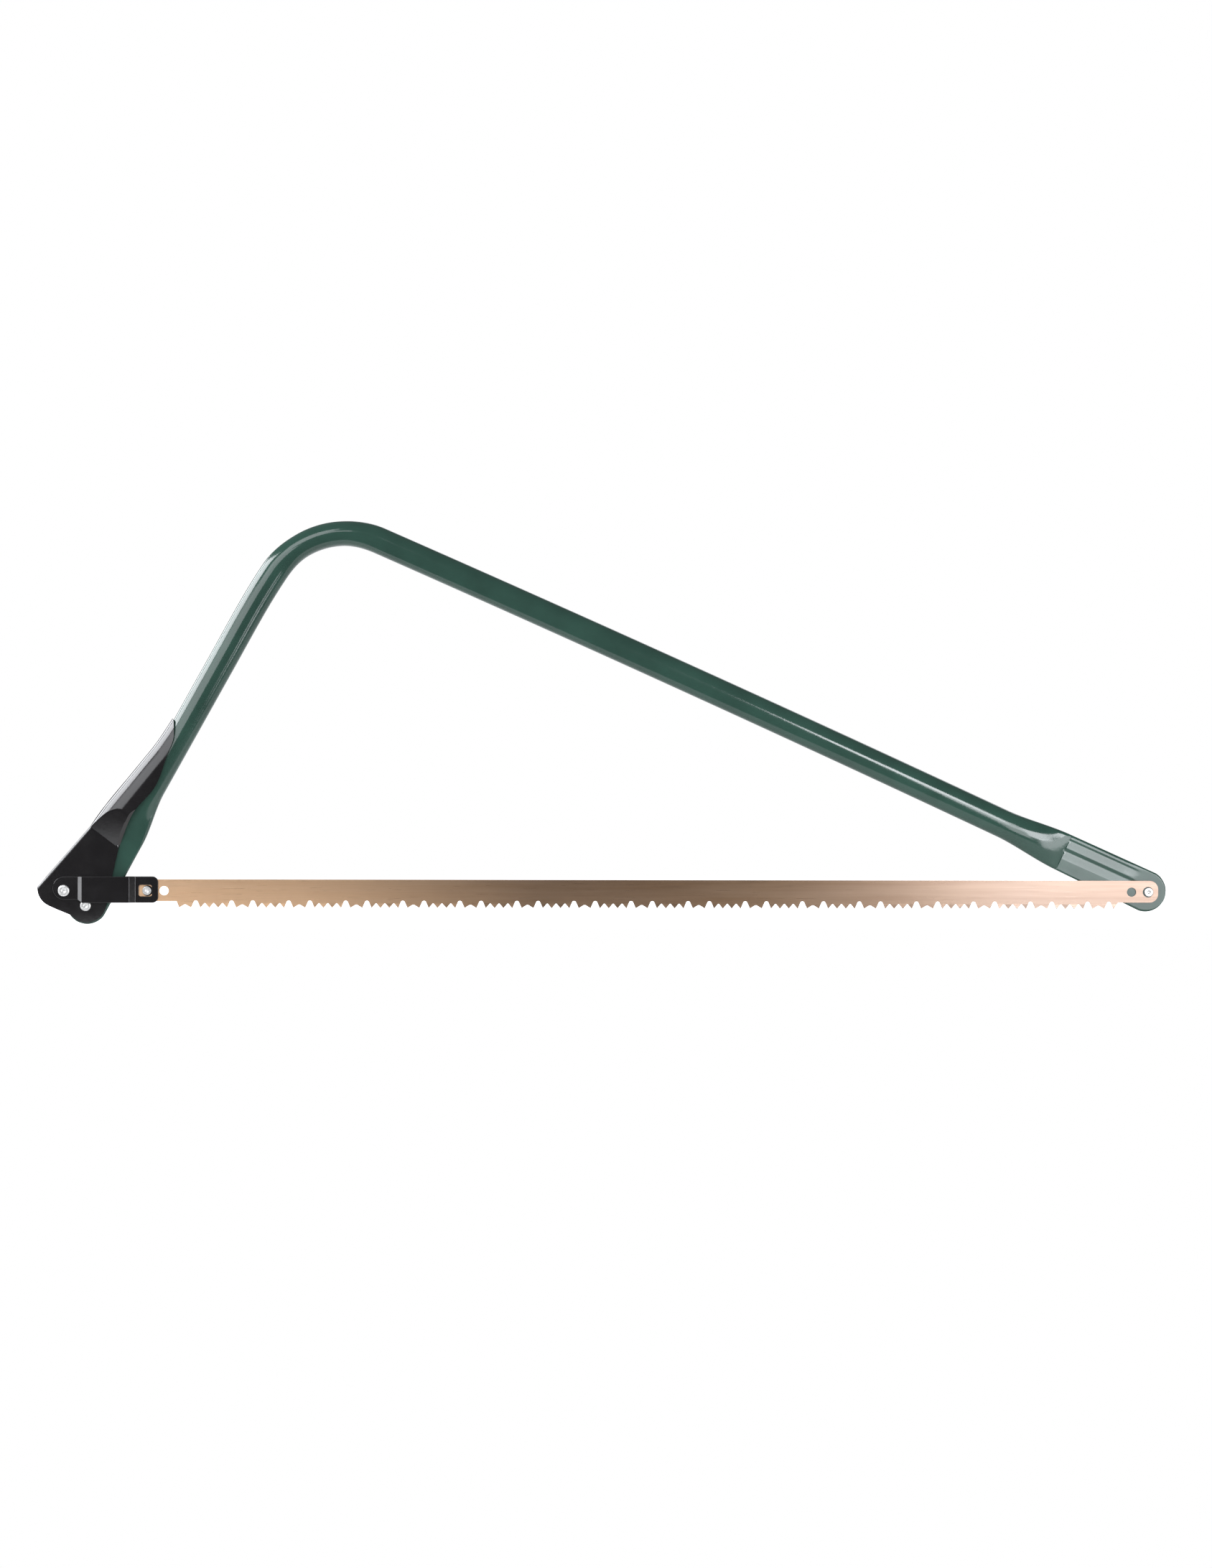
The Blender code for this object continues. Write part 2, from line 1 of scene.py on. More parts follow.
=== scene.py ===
"""Looks of the bow saw: fine meshes and finishes for each of its pieces, a pale floor, soft lights and a camera.

The saw stands in the XZ plane, teeth down, its heel at -X and its nose at +X; the near side faces -Y. Lengths are
in millimetres unless a comment says otherwise, and mesh_object() turns them into metres. A pair is a place (x, z)
in the saw's plane, and a depth is a distance along Y from the blade's middle plane.
"""

import json
import math

import bmesh
import bpy
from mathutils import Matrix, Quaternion, Vector

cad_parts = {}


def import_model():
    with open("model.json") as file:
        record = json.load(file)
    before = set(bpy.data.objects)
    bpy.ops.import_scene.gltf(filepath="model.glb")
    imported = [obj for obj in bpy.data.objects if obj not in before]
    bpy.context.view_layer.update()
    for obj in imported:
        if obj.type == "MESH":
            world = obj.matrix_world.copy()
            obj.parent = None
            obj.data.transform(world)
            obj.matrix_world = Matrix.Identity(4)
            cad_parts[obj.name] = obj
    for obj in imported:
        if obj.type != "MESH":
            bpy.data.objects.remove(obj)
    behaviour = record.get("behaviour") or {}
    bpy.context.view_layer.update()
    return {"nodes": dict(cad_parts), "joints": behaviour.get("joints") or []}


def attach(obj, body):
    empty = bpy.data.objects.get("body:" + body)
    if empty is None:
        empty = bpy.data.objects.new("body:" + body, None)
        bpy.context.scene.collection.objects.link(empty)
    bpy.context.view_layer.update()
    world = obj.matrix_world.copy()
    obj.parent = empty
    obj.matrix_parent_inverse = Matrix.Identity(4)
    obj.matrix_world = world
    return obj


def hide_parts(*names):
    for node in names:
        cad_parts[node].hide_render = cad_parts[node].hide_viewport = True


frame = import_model()

MM = 0.001
SCENE = bpy.context.scene
JOINTS = {joint["name"]: joint["pos_m"] for joint in frame["joints"]}


def axis_of(joint):
    """A joint's axis as a pair in the saw's plane."""
    return (JOINTS[joint][0] / MM, JOINTS[joint][2] / MM)


PIVOT = axis_of("lever_swing")
LINK_RIVET = axis_of("link_swing")
NOSE_STUD = axis_of("blade_swing")
PIN_SPAN = 760.0
BLADE_TILT = math.radians(0.09)
BLADE_PIN = (NOSE_STUD[0] - PIN_SPAN * math.cos(BLADE_TILT), NOSE_STUD[1] + PIN_SPAN * math.sin(BLADE_TILT))

# frame tube: an arm's or the bend's pair is half its width in the saw's plane and half its depth along Y
PLATE_HALF_DEPTH = 1.35
HEEL_LEAN = math.radians(29.2)
HEEL_CENTRE = (-390.3, 16.0)
HEEL_RADIUS = 16.0
NOSE_CENTRE = (412.5, 25.0)
NOSE_RADIUS = 15.7
NOSE_PLATE_DEPTH = 2.85
BEND_RADIUS = 64.8
BEND_CENTRE = (-194.3, 231.4)
BEND_START = math.radians(34)
BEND_EASE = 213.0
LONG_ARM_DROP = math.radians(23.9)
LONG_ARM_BOW = 2.3
CREASE_TO_NOSE = 68.5
CREASE_TO_PIVOT = 61.0
NOSE_FLARE = 52.0
HEEL_FLARE = 42.0
SHORT_ARM_HALF = (10.5, 8.2)
BEND_HALF = (9.4, 9.6)
LONG_ARM_HALF = (10.2, 8.0)
NOSE_ARM_HALF = (10.85, 8.0)
HEEL_PLATE_HALF = (15.8, 15.1)   # half widths at the pivot and at the crease
NOSE_PLATE_HALF = (14.5, 15.6)   # half widths at the crease and at the nose
LATE_PRESS = 2.3                 # a higher power moves the slope of the nose's flare closer to its crease
SLIT = 0.7                       # depth of the fine slit between the pressed walls at a cut end
RIB_HEIGHT = 0.9
RIB_START = 0.5                  # the ribs step up this close behind the crease
RIB_FADE_FROM = 44.0             # from here, behind the crease, they fade out
RIB_FADE = 22.0
RIB_EDGES = (4.3, 13.2)          # from the plate's upper edge to where each rib starts to rise
RIB_RISE = 6.2                   # from there each rib rises gently over this width
RIB_DROPS = ((2.6, 1.0), (9.0, 0.5))  # and drops over this width, by this share of its height
EDGE_ROLL = 2.8                  # the plate's upper edge stands up in a narrow roll, down to this distance from it
EDGE_HEIGHT = 0.5

# blade
BLADE_HALF_DEPTH = 0.45
BLADE_BACK = 8.6
BLADE_BELLY = 7.9
BLADE_END = 7.2
BLADE_CORNER = 6.5
END_HOLE_RADIUS = 4.0
SPARE_HOLE_RADIUS = 3.5
SPARE_HOLE_STEP = 13.0
PIN_RADIUS = 3.4
PIN_PLAY = 0.1
TOOTH_DEPTH = 4.9
FIRST_RAKER = -731.0
RAKER_PITCH = 43.3
RAKERS = 17
RAKER_HALF = 4.5
RAKER_NOTCH = 2.4
RAKER_NOTCH_HALF = 0.6
PEGS = 4                         # in each group between two rakers
PEG_PITCH = 6.7
FIRST_PEG = (RAKER_PITCH - (PEGS - 1) * PEG_PITCH) / 2
PEG_FLANK = 0.7                  # how deep the notch between two pegs is, as a share of a tooth
PEG_TIP_HALF = 0.15
PEG_NOTCH_HALF = 0.35
GULLET_HALF = 1.4
GULLET_HEIGHTS = ((-1, -0.1), (-0.6, 0.4), (0, 0.6), (0.6, 0.4), (1, -0.1))
TOOTH_SET = 0.2                  # how far a peg's tip is bent sideways
FILED = 0.5                      # how much higher a peg's filed side ends than its other side

# tension lever
SHEET = 1.2
GRIP_HALF = 9.8
GRIP_WIDTH = 13.0                # how far the grip's round back reaches inwards from its spine
CHEEK_HALF = 3.0
LEVER_TIP = (-325.7, 155.8)
FOLD_START = (-388.3, 73.8)
FOLD_END = (-366.4, 57.2)
FOLD_SLOPE = 0.274
TURNED_EDGE_FROM = 2.6           # beside the ramp over the fold, the free edge turns in over this width
TURNED_EDGE_SLOPE = 0.9
HEEL_CORNER = (-428.2, 28.3)
CHEEK_LOBE = 15.0
CHEEK_LOBE_CENTRE = (-390.6, 16.2)
CHEEK_CORNERS = [HEEL_CORNER, (-426.8, 21.6), (-422.6, 16.0), (-415.5, 12.2), (-404.0, 7.4)]
SPINE = [LEVER_TIP, (-332.3, 145.5), (-340.0, 134.6), (-357.9, 112.8), (-376.5, 90.2), FOLD_START]
FREE_EDGE = [(-324.4, 154.2), (-324.3, 141.0), (-329.0, 128.3), (-338.2, 104.2), (-355.2, 83.6), FOLD_END]

# link
LINK_SHEET = 1.5
LINK_LOWER = 16.1
LINK_UPPER = 36.0
LINK_LEFT = -416.2
LINK_RIGHT = -336.4
LINK_CORNER = 4.5
LINK_WAIST = 2.4
LINK_BASE = 3.3
LINK_PROUD = 5.2
LINK_IN = 0.75
STEP_OUT = (-397.3, -393.9)
STEP_IN = (-358.1, -353.8)
WINDOW = (-351.2, -341.2, 20.9, 29.7)
WINDOW_CORNER = 1.6

# rivets and pins: a head is (radius, height)
RIVET_RADIUS = 2.3
HOLE_GAP = 0.3
PIVOT_HEAD = (4.2, 1.4)
LINK_RIVET_HEAD = (4.5, 1.5)
STUD_HEAD = (4.6, 1.3)
STUD_DIMPLE = 1.2
STUD_CHAMFER = 0.5


# ---- small helpers ------------------------------------------------------------------------------------------
def mesh_object(name, points, faces, sharp=35):
    """A smooth-shaded object from points in millimetres, with edges over the angle sharp kept crisp."""
    mesh = bpy.data.meshes.new(name)
    mesh.from_pydata([Vector(p) * MM for p in points], [], faces)
    work = bmesh.new()
    work.from_mesh(mesh)
    bmesh.ops.remove_doubles(work, verts=work.verts, dist=1e-6)
    bmesh.ops.recalc_face_normals(work, faces=work.faces)
    work.to_mesh(mesh)
    work.free()
    mesh.shade_smooth()
    mesh.set_sharp_from_angle(angle=math.radians(sharp))
    obj = bpy.data.objects.new(name, mesh)
    SCENE.collection.objects.link(obj)
    return obj


def finished(obj, finish, body, slot, *nodes):
    """Gives a piece its material and its body, and hides the CAD nodes that it stands for. The slot is not used.
    """
    obj.data.materials.clear()
    obj.data.materials.append(finish)
    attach(obj, body)
    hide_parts(*nodes)


def lerp(a, b, t):
    return a + (b - a) * t


def between(p, q, t):
    return (lerp(p[0], q[0], t), lerp(p[1], q[1], t))


def ease(t):
    """0 to 1 with level ends."""
    t = min(max(t, 0), 1)
    return t * t * (3 - 2 * t)


def pressed(t):
    """0 to 1, level at the start and ending on a crease."""
    t = min(max(t, 0), 1)
    return t * t * (1.9 - 0.9 * t)


def pressed_late(t):
    """Like pressed, but with most of the slope near the crease."""
    return min(max(t, 0), 1) ** LATE_PRESS


def arc(centre, radius, start, end, count):
    turns = [math.radians(lerp(start, end, i / count)) for i in range(count + 1)]
    return [(centre[0] + radius * math.cos(a), centre[1] + radius * math.sin(a)) for a in turns]


def loft(rings, closed_ends=True):
    """Points and quads through rings of equal length."""
    count = len(rings[0])
    points = [p for ring in rings for p in ring]
    faces = []
    for i in range(len(rings) - 1):
        a, b = i * count, (i + 1) * count
        faces += [(a + k, a + (k + 1) % count, b + (k + 1) % count, b + k) for k in range(count)]
    if closed_ends:
        faces += [tuple(range(count)), tuple(range(len(points) - 1, len(points) - count - 1, -1))]
    return points, faces


def prism(name, outline, low, high):
    return mesh_object(name, *loft([[(x, y, z) for x, z in outline] for y in (low, high)]))


def cut(obj, outline, operation="DIFFERENCE"):
    """Cuts an outline right through a piece, or keeps only what lies inside it."""
    reach = 30
    tool = prism("cutter", outline, -reach, reach)
    modifier = obj.modifiers.new("cut", "BOOLEAN")
    modifier.operation = operation
    modifier.solver = "EXACT"
    modifier.object = tool
    apply_modifiers(obj)
    bpy.data.objects.remove(tool, do_unlink=True)


def apply_modifiers(obj):
    evaluated = obj.evaluated_get(bpy.context.evaluated_depsgraph_get())
    mesh = bpy.data.meshes.new_from_object(evaluated)
    obj.modifiers.clear()
    obj.data = mesh


def circle(centre, radius, count=64):
    return arc(centre, radius, 0, 360 - 360 / count, count - 1)


def soften(obj, width):
    """Rounds a piece's sharp edges by a width in millimetres."""
    modifier = obj.modifiers.new("soft_edges", "BEVEL")
    modifier.width = width * MM
    modifier.segments = 2
    modifier.limit_method = "ANGLE"
    modifier.angle_limit = math.radians(40)
    modifier.use_clamp_overlap = True
    modifier.harden_normals = True
    apply_modifiers(obj)


# ---- materials ----------------------------------------------------------------------------------------------
def new_material(name, colour, roughness, metallic):
    """A Principled material; returns it with its node tree, its shader and its object coordinates in metres."""
    made = bpy.data.materials.new(name)
    made.use_nodes = True
    tree = made.node_tree
    shader = tree.nodes["Principled BSDF"]
    shader.inputs["Base Color"].default_value = (*colour, 1)
    shader.inputs["Roughness"].default_value = roughness
    shader.inputs["Metallic"].default_value = metallic
    return made, tree, shader, tree.nodes.new("ShaderNodeTexCoord").outputs["Object"]


def stretched(tree, coordinates, scale):
    mapping = tree.nodes.new("ShaderNodeMapping")
    mapping.inputs["Scale"].default_value = scale
    tree.links.new(coordinates, mapping.inputs["Vector"])
    return mapping.outputs["Vector"]


def noise(tree, coordinates, scale, detail):
    node = tree.nodes.new("ShaderNodeTexNoise")
    node.inputs["Scale"].default_value = scale
    node.inputs["Detail"].default_value = detail
    tree.links.new(coordinates, node.inputs["Vector"])
    return node.outputs["Fac"]


def spread(tree, value, low, high, start=0.3, end=0.7):
    """Maps a value from start..end to low..high."""
    node = tree.nodes.new("ShaderNodeMapRange")
    for name, number in (("From Min", start), ("From Max", end), ("To Min", low), ("To Max", high)):
        node.inputs[name].default_value = number
    tree.links.new(value, node.inputs["Value"])
    return node.outputs["Result"]


def mixed(tree, share, first, second):
    """A colour between two others; each is a colour or an output."""
    node = tree.nodes.new("ShaderNodeMix")
    node.data_type = "RGBA"
    tree.links.new(share, node.inputs["Factor"])
    for socket, colour in ((node.inputs[6], first), (node.inputs[7], second)):
        if isinstance(colour, tuple):
            socket.default_value = (*colour, 1)
        else:
            tree.links.new(colour, socket)
    return node.outputs[2]


def bumped(tree, shader, height, distance):
    """Bumps a shader by a height of a distance in metres."""
    bump = tree.nodes.new("ShaderNodeBump")
    bump.inputs["Distance"].default_value = distance
    bump.inputs["Strength"].default_value = 1.0
    tree.links.new(height, bump.inputs["Height"])
    tree.links.new(bump.outputs["Normal"], shader.inputs["Normal"])


def paint(name, colour, roughness):
    """Baked enamel on steel: a faint orange peel and a slightly uneven gloss."""
    made, tree, shader, where = new_material(name, colour, roughness, 0.0)
    tone = spread(tree, noise(tree, where, 35, 3), 0, 1)
    darker = tuple(c * 0.86 for c in colour)
    lighter = tuple(c * 1.12 for c in colour)
    tree.links.new(mixed(tree, tone, darker, lighter), shader.inputs["Base Color"])
    gloss = spread(tree, noise(tree, where, 90, 4), roughness * 0.8, roughness * 1.25)
    tree.links.new(gloss, shader.inputs["Roughness"])
    bumped(tree, shader, noise(tree, where, 420, 1), 0.00002)
    return made


def tempered_steel():
    """Blade strip: its colour runs from gold at the heel over brown to a pale pink at the nose, partly the steel's
    own tint and partly painted reflection, with the heel end painted lighter and the middle darker. Rolled
    lengthwise, with fine streaks."""
    made, tree, shader, where = new_material("blade_steel", (0.56, 0.38, 0.25), 0.3, 1.0)
    shader.inputs["Anisotropic"].default_value = 0.7
    shader.inputs["Anisotropic Rotation"].default_value = 0.25
    fine = noise(tree, stretched(tree, where, (6, 420, 420)), 5, 3)
    broad = noise(tree, stretched(tree, where, (2, 60, 60)), 4, 2)
    parts = tree.nodes.new("ShaderNodeSeparateXYZ")
    tree.links.new(where, parts.inputs["Vector"])
    # painted reflection on top of the steel's own tint: the gold heel end is painted lighter, the brown middle
    # darker
    gold, brown, pink = (0.70, 0.455, 0.275), (0.25, 0.16, 0.098), (0.21, 0.152, 0.122)
    heel_tint_and_reflection = mixed(tree, spread(tree, parts.outputs["X"], 0, 1, -0.22, -0.05), gold, brown)
    tint_and_reflection = mixed(tree, spread(tree, parts.outputs["X"], 0, 1, 0.12, 0.32), heel_tint_and_reflection, pink)
    streaked = mixed(tree, spread(tree, fine, 0, 0.14), tint_and_reflection, (0.16, 0.10, 0.06))
    shade = mixed(tree, spread(tree, broad, 0, 0.08), streaked, (0.75, 0.62, 0.50))
    tree.links.new(shade, shader.inputs["Base Color"])
    tree.links.new(spread(tree, fine, 0.27, 0.36), shader.inputs["Roughness"])
    bumped(tree, shader, fine, 0.000003)
    return made


def bright_steel(name):
    """Zinc plated steel for rivets and pins, lightly mottled."""
    made, tree, shader, where = new_material(name, (0.5, 0.5, 0.49), 0.36, 1.0)
    mottle = noise(tree, where, 700, 3)
    tone = mixed(tree, spread(tree, mottle, 0, 1), (0.40, 0.40, 0.39), (0.58, 0.58, 0.57))
    tree.links.new(tone, shader.inputs["Base Color"])
    tree.links.new(spread(tree, noise(tree, where, 1500, 2), 0.3, 0.46), shader.inputs["Roughness"])
    bumped(tree, shader, mottle, 0.00001)
    return made


# ---- frame tube ---------------------------------------------------------------------------------------------
def frame_stations():
    """Along the tube from heel to nose: place, direction, half width, half depth, depth of its middle, how flat
    it is, the share of their height that its ribs have, and how deep the slit in its cut end is."""
    up = Vector((math.sin(HEEL_LEAN), math.cos(HEEL_LEAN)))
    pivot, bend = Vector(PIVOT), Vector(BEND_CENTRE)
    heel_reach = (Vector(HEEL_CENTRE) - pivot).dot(up)
    stations = []

    def add(place, along, flat, spread_out, half, plate_half, depth=0.0, rib=0.0, from_centre=0.0, radius=0.0):
        wide = lerp(half[0], plate_half, spread_out)
        slit = 0.0
        if from_centre > 0:
            round_half = math.sqrt(max(radius ** 2 - from_centre ** 2, 0))
            wide = max(min(wide, round_half), PLATE_HALF_DEPTH * 1.02)
            slit = SLIT * ease(from_centre / radius * 3)
        thick = lerp(half[1], PLATE_HALF_DEPTH, flat)
        stations.append((place, along, wide, thick, depth * flat, flat, rib, slit))

    def heel(s):
        t = 1 - (s - CREASE_TO_PIVOT) / HEEL_FLARE
        width = lerp(*HEEL_PLATE_HALF, ease(s / CREASE_TO_PIVOT))
        add(pivot + up * s, up, pressed(t), ease(t), SHORT_ARM_HALF, width, 0, 0, heel_reach - s, HEEL_RADIUS)

    round_steps = 26
    for i in range(round_steps):
        heel(heel_reach - HEEL_RADIUS * math.cos(math.pi / 2 * i / round_steps))
    flat_steps, flare_steps = 14, 24
    for i in range(flat_steps + 1):
        heel(lerp(heel_reach, CREASE_TO_PIVOT, i / flat_steps))
    for i in range(1, flare_steps + 1):
        heel(CREASE_TO_PIVOT + HEEL_FLARE * i / flare_steps)
    straight_start, straight_steps = CREASE_TO_PIVOT + HEEL_FLARE, 30
    for i in range(1, straight_steps + 1):
        add(pivot + up * lerp(straight_start, BEND_EASE, i / straight_steps), up, 0, 0, SHORT_ARM_HALF, 0)

    start, end = math.pi - BEND_START, math.pi / 2 - LONG_ARM_DROP

    def on_bend(turn):
        out = Vector((math.cos(turn), math.sin(turn)))
        return bend + out * BEND_RADIUS, Vector((out.y, -out.x))

    eased, (meets, lean) = pivot + up * BEND_EASE, on_bend(start)
    reach = (meets - eased).length / 3
    ease_steps = 10
    for i in range(1, ease_steps):
        t = i / ease_steps
        points = (eased, eased + up * reach, meets - lean * reach, meets)
        while len(points) > 2:
            points = [p.lerp(q, t) for p, q in zip(points, points[1:])]
        add(points[0].lerp(points[1], t), (points[1] - points[0]).normalized(), 0, 0, SHORT_ARM_HALF, 0)

    bend_steps = 60
    for i in range(bend_steps + 1):
        t = i / bend_steps
        squash = ease(3 * t) * ease(3 * (1 - t))
        half = between(between(SHORT_ARM_HALF, LONG_ARM_HALF, t), BEND_HALF, squash)
        add(*on_bend(lerp(start, end, t)), 0, 0, half, 0)

    tail = on_bend(end)[0]
    chord = Vector(NOSE_CENTRE) - tail
    rise = Vector((-chord.y, chord.x)).normalized() * LONG_ARM_BOW * 4

    def long_arm(from_nose, rib=0.0):
        t = 1 - from_nose / chord.length
        press = 1 - (from_nose - CREASE_TO_NOSE) / NOSE_FLARE
        place = tail + chord * t + rise * t * (1 - t)
        along = (chord + rise * (1 - 2 * t)).normalized()
        width = lerp(*NOSE_PLATE_HALF, max(0, 1 - from_nose / CREASE_TO_NOSE))
        half = between(LONG_ARM_HALF, NOSE_ARM_HALF, t)
        depth, past = NOSE_PLATE_DEPTH, -from_nose
        add(place, along, pressed_late(press), ease(press), half, width, depth, rib, past, NOSE_RADIUS)

    straight = chord.length - CREASE_TO_NOSE - NOSE_FLARE
    arm_steps = 120
    for i in range(1, arm_steps):
        long_arm(chord.length - straight * i / arm_steps)
    flare_steps = 40
    for i in range(flare_steps + 1):
        long_arm(CREASE_TO_NOSE + NOSE_FLARE * (1 - i / flare_steps))
    long_arm(CREASE_TO_NOSE - RIB_START, 1)
    plate_steps = 60
    for i in range(1, plate_steps + 1):
        s = lerp(RIB_START, CREASE_TO_NOSE, i / plate_steps)
        long_arm(CREASE_TO_NOSE - s, 1 - ease((s - RIB_FADE_FROM) / RIB_FADE))
    for i in range(1, round_steps + 1):
        long_arm(-NOSE_RADIUS * math.sin(math.pi / 2 * i / round_steps))
    return stations


def rib_height(from_edge):
    """Height of the nose plate's near face at a distance from its upper edge: a narrow roll along the edge, then
    two broad ribs that rise gently. The upper one drops back quickly, the lower one slowly and only in part."""
    height = EDGE_HEIGHT * min(from_edge / EDGE_ROLL, 1) * ease((RIB_EDGES[0] + 0.2 - from_edge) / 1.5)
    for start, (drop, share) in zip(RIB_EDGES, RIB_DROPS):
        across = from_edge - start
        rise = max(min(across / RIB_RISE, 1), 0)
        height += RIB_HEIGHT * (0.7 * rise + 0.3 * ease(rise)) * (1 - share * ease((across - RIB_RISE) / drop))
    return height


def frame_section(station):
    """The tube's outline at a station: an ellipse that turns into a plate with round edges as it gets flat. The
    plate's edge keeps a fine slit where the tube's end is cut."""
    place, along, wide, deep, depth, flat, rib, slit = station
    quarter_steps, face_steps = 8, 56
    inner = Vector((along.y, -along.x))
    half_count = 2 * quarter_steps + face_steps
    points = []
    for side in (1, -1):
        for i in range(half_count):
            turn = math.pi * i / half_count
            from_face = max(quarter_steps - i, i - quarter_steps - face_steps, 0)
            edge = math.pi / 2 * from_face / quarter_steps
            share = min(max((i - quarter_steps) / face_steps, 0), 1)
            plate_u = (wide - deep) * (1 - 2 * share) + math.copysign(deep * math.sin(edge), 0.5 - share)
            if i == 0:
                plate_u -= slit
            u = side * lerp(wide * math.cos(turn), plate_u, flat)
            v = side * lerp(deep * math.sin(turn), deep * math.cos(edge), flat)
            if side < 0:
                v -= rib_height(wide + u) * rib
            at = place + inner * u
            points.append((at.x, depth + v, at.y))
    return points


def frame_tube(finish):
    rings = [frame_section(s) for s in frame_stations()]
    tube = mesh_object("frame_tube_finish", *loft(rings), sharp=30)
    finished(tube, finish, "frame", "frame_paint", "frame_tube")


# ---- blade --------------------------------------------------------------------------------------------------
def on_blade(u, v):
    """A place on the blade: u from the nose stud along the line of the pins, v above that line."""
    c, s = math.cos(BLADE_TILT), math.sin(BLADE_TILT)
    return (NOSE_STUD[0] + u * c + v * s, NOSE_STUD[1] - u * s + v * c)


def gullet(u):
    return [(u + GULLET_HALF * x, -BLADE_BELLY + height, 0, 0) for x, height in GULLET_HEIGHTS]


def teeth():
    """The cutting edge from the heel to the nose as (u, v, side that it is bent to, share of the tooth)."""
    tip = -BLADE_BELLY - TOOTH_DEPTH
    shallow = tip + TOOTH_DEPTH * PEG_FLANK
    beside = (RAKER_HALF + FIRST_PEG) / 2
    edge = [(FIRST_RAKER - RAKER_HALF - 2, -BLADE_BELLY, 0, 0)]
    for k in range(RAKERS):
        raker = FIRST_RAKER + RAKER_PITCH * k
        edge += [(raker - RAKER_HALF, tip, 0, 1), (raker - RAKER_NOTCH_HALF, tip + RAKER_NOTCH, 0, 0)]
        edge += [(raker + RAKER_NOTCH_HALF, tip + RAKER_NOTCH, 0, 0), (raker + RAKER_HALF, tip, 0, 1)]
        edge += gullet(raker + beside)
        pegs = PEGS if k < RAKERS - 1 else 1
        for n in range(pegs):
            peg = raker + FIRST_PEG + PEG_PITCH * n
            side = 1 if n % 2 else -1
            edge += [(peg - PEG_TIP_HALF, tip, side, 1), (peg + PEG_TIP_HALF, tip, side, 1)]
            if n < pegs - 1:
                middle = peg + PEG_PITCH / 2
                edge += [(middle - PEG_NOTCH_HALF, shallow, 0, 0), (middle + PEG_NOTCH_HALF, shallow, 0, 0)]
        if k < RAKERS - 1:
            edge += gullet(raker + RAKER_PITCH - beside)
    edge.append((edge[-1][0] + PEG_PITCH / 2, -BLADE_BELLY, 0, 0))
    return edge


def blade(finish):
    left, right = BLADE_CORNER - BLADE_END - PIN_SPAN, BLADE_END - BLADE_CORNER
    low, high = BLADE_CORNER - BLADE_BELLY, BLADE_BACK - BLADE_CORNER

    def corner(centre, start):
        return [(u, v, 0, 0) for u, v in arc(centre, BLADE_CORNER, start, start + 90, 14)]

    outline = corner((left, low), 180) + teeth() + corner((right, low), -90)
    outline += corner((right, high), 0) + corner((left, high), 90)
    rings = []
    for face in (-1, 1):
        ring = []
        for u, v, side, share in outline:
            filed = FILED * share if side == face else 0
            x, z = on_blade(u, v + filed)
            ring.append((x, face * BLADE_HALF_DEPTH, z))
        rings.append(ring)
    strip = mesh_object("blade_finish", *loft(rings), sharp=20)
    shift = END_HOLE_RADIUS - PIN_RADIUS - PIN_PLAY
    for pin, inwards in ((-PIN_SPAN, 1), (0, -1)):
        cut(strip, circle(on_blade(pin + inwards * shift, 0), END_HOLE_RADIUS))
        cut(strip, circle(on_blade(pin + inwards * SPARE_HOLE_STEP, 0), SPARE_HOLE_RADIUS))
    set_teeth(strip)
    finished(strip, finish, "blade", "blade_steel", "blade")


def set_teeth(strip):
    """Bends the pegs to alternate sides below a line just above their gullets."""
    work = bmesh.new()
    work.from_mesh(strip.data)
    x, z = on_blade(-PIN_SPAN / 2, -BLADE_BELLY - TOOTH_DEPTH * (1 - PEG_FLANK) * 0.9)
    root = Vector((x, 0, z)) * MM
    normal = Vector((math.sin(BLADE_TILT), 0, math.cos(BLADE_TILT)))
    geometry = work.verts[:] + work.edges[:] + work.faces[:]
    bmesh.ops.bisect_plane(work, geom=geometry, plane_co=root, plane_no=normal, dist=1e-7)
    reach = PEG_PITCH / 2 - 0.2
    for vert in work.verts:
        below = (root - vert.co).dot(normal) / MM
        along = (vert.co.x / MM - NOSE_STUD[0] - FIRST_RAKER) % RAKER_PITCH
        peg = round((along - FIRST_PEG) / PEG_PITCH)
        if below > 0.01 and 0 <= peg < PEGS and abs(along - FIRST_PEG - peg * PEG_PITCH) < reach:
            side = 1 if peg % 2 else -1
            vert.co.y += side * TOOTH_SET * MM * min(below / (TOOTH_DEPTH * PEG_FLANK), 1)
    work.to_mesh(strip.data)
    work.free()
    strip.data.shade_flat()


# ---- tension lever ------------------------------------------------------------------------------------------
def path_distance(path, x, z):
    """Distance from a place to the nearest point of a chain of straight lines."""
    here = Vector((x, z))
    line = [Vector(p) for p in path]
    found = []
    for a, b in zip(line, line[1:]):
        t = min(max((here - a).dot(b - a) / (b - a).length_squared, 0), 1)
        found.append((here - a - (b - a) * t).length)
    return min(found)


def quarter_round(distance, width, depth):
    """Depth of a quarter of an ellipse at a distance from its outer edge."""
    share = 1 - min(distance / width, 1)
    return depth * math.sqrt(1 - share * share)


def lever_depth(x, z, inset=0.0):
    """Half depth of the lever's face, at an inset from its outer one: a half tube above the fold, flat cheeks
    below it."""
    d = max(path_distance((*SPINE, HEEL_CORNER), x, z) - inset, 0)
    fold = Vector(FOLD_END) - Vector(FOLD_START)
    above = Vector((-fold.y, fold.x)).normalized().dot(Vector((x, z)) - Vector(FOLD_START))
    cheek = CHEEK_HALF - inset
    ramp = quarter_round(d, cheek / 2, cheek) + FOLD_SLOPE * max(above, 0)
    edge = TURNED_EDGE_FROM - path_distance(FREE_EDGE, x, z)
    ramp -= TURNED_EDGE_SLOPE * max(edge, 0) * ease(above / 3)
    return min(quarter_round(d, GRIP_WIDTH - inset, GRIP_HALF - inset), ramp)


